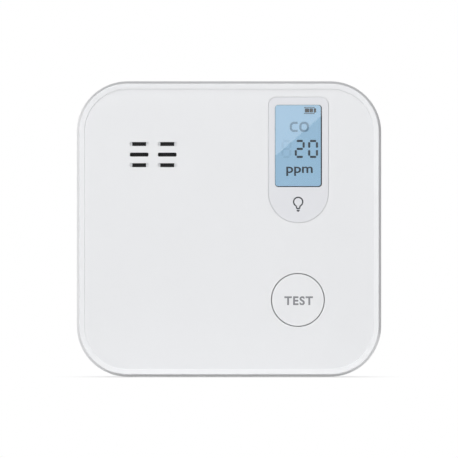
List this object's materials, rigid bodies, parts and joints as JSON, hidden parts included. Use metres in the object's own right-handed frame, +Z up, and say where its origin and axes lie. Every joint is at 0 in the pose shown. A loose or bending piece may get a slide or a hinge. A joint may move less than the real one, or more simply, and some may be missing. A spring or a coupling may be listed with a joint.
{
  "type": "carbon monoxide detector",
  "caption": "White rounded-square carbon monoxide alarm with a tongue-shaped display panel, round test button, slotted vent, hinged battery door and slide-off wall bracket.",
  "frame": {"origin": "centre of the wall bracket's back face, midway between its two screw slots; the wall is the plane y = 0", "axes": "+Z up, the front of the alarm faces -Y, +X is to the right for someone facing the alarm; +Y points into the wall"},
  "size_m": [0.1012, 0.036, 0.0982],
  "materials": {
    "white_abs": "fine satin moulded, white",
    "panel_abs": "satin moulded, very light grey",
    "clear_lens": "clear polished plastic",
    "display_glass": "smooth, blue lit display",
    "diffuser": "milky white",
    "black_plastic": "black, matt",
    "silicone": "striped silicone, matt",
    "board_laminate": "green solder mask, satin",
    "steel": "zinc plated",
    "nickel": "nickel plated spring steel",
    "brass": "rolled sheet",
    "ceramic": "silvered ceramic, matt",
    "copper_coil": "enamelled copper wire on a ferrite drum",
    "foam": "black foam and woven screen",
    "cell_sleeve": "dark plain label sleeve over a metal can",
    "capacitor_sleeve": "dark blue shrink sleeve",
    "green_lamp": "translucent green",
    "amber_lamp": "translucent amber",
    "red_lamp": "translucent red"
  },
  "bodies": {
    "bracket": {"wall_bracket": "white_abs"},
    "alarm": {"front_cover": "white_abs", "rear_cover": "white_abs", "display_bezel": "panel_abs", "display_window": "clear_lens", "lcd_panel": "display_glass", "lcd_backlight": "diffuser", "lcd_holder": "diffuser", "zebra_connector": "silicone", "light_pipe": "clear_lens", "status_led_green": "green_lamp", "status_led_amber": "amber_lamp", "status_led_red": "red_lamp", "tact_switch": "black_plastic", "circuit_board": "board_laminate", "microcontroller": "black_plastic", "inductor": "copper_coil", "capacitor_1": "capacitor_sleeve", "capacitor_2": "capacitor_sleeve", "co_sensor": "steel", "sensor_gasket": "foam", "sounder_housing": "black_plastic", "piezo_disc": "brass", "piezo_ceramic": "ceramic", "dust_mesh": "foam", "battery_cell_1": "cell_sleeve", "battery_cell_2": "cell_sleeve", "battery_spring_1": "nickel", "battery_spring_2": "nickel", "negative_terminal": "nickel", "positive_terminal": "nickel", "bridge_contact": "nickel", "case_screw_1": "steel", "case_screw_2": "steel", "case_screw_3": "steel", "case_screw_4": "steel", "board_screw_1": "steel", "board_screw_2": "steel", "board_screw_3": "steel"},
    "button": {"test_button": "white_abs", "tact_plunger": "white_abs"},
    "door": {"battery_door": "white_abs"}
  },
  "joints": [
    {"name": "bracket_slide", "type": "slide", "parent": "bracket", "child": "alarm", "axis": [0, 0, 1], "range_m": [0, 0.008]},
    {"name": "button_press", "type": "slide", "parent": "alarm", "child": "button", "axis": [0, 1, 0], "range_m": [0, 0.0005], "stiffness_N_per_m": 800, "springref_m": -0.0005},
    {"name": "door_hinge", "type": "hinge", "parent": "alarm", "child": "door", "pos_m": [0, -0.0026, -0.0315], "axis": [1, 0, 0], "range_deg": [0, 90]}
  ]
}
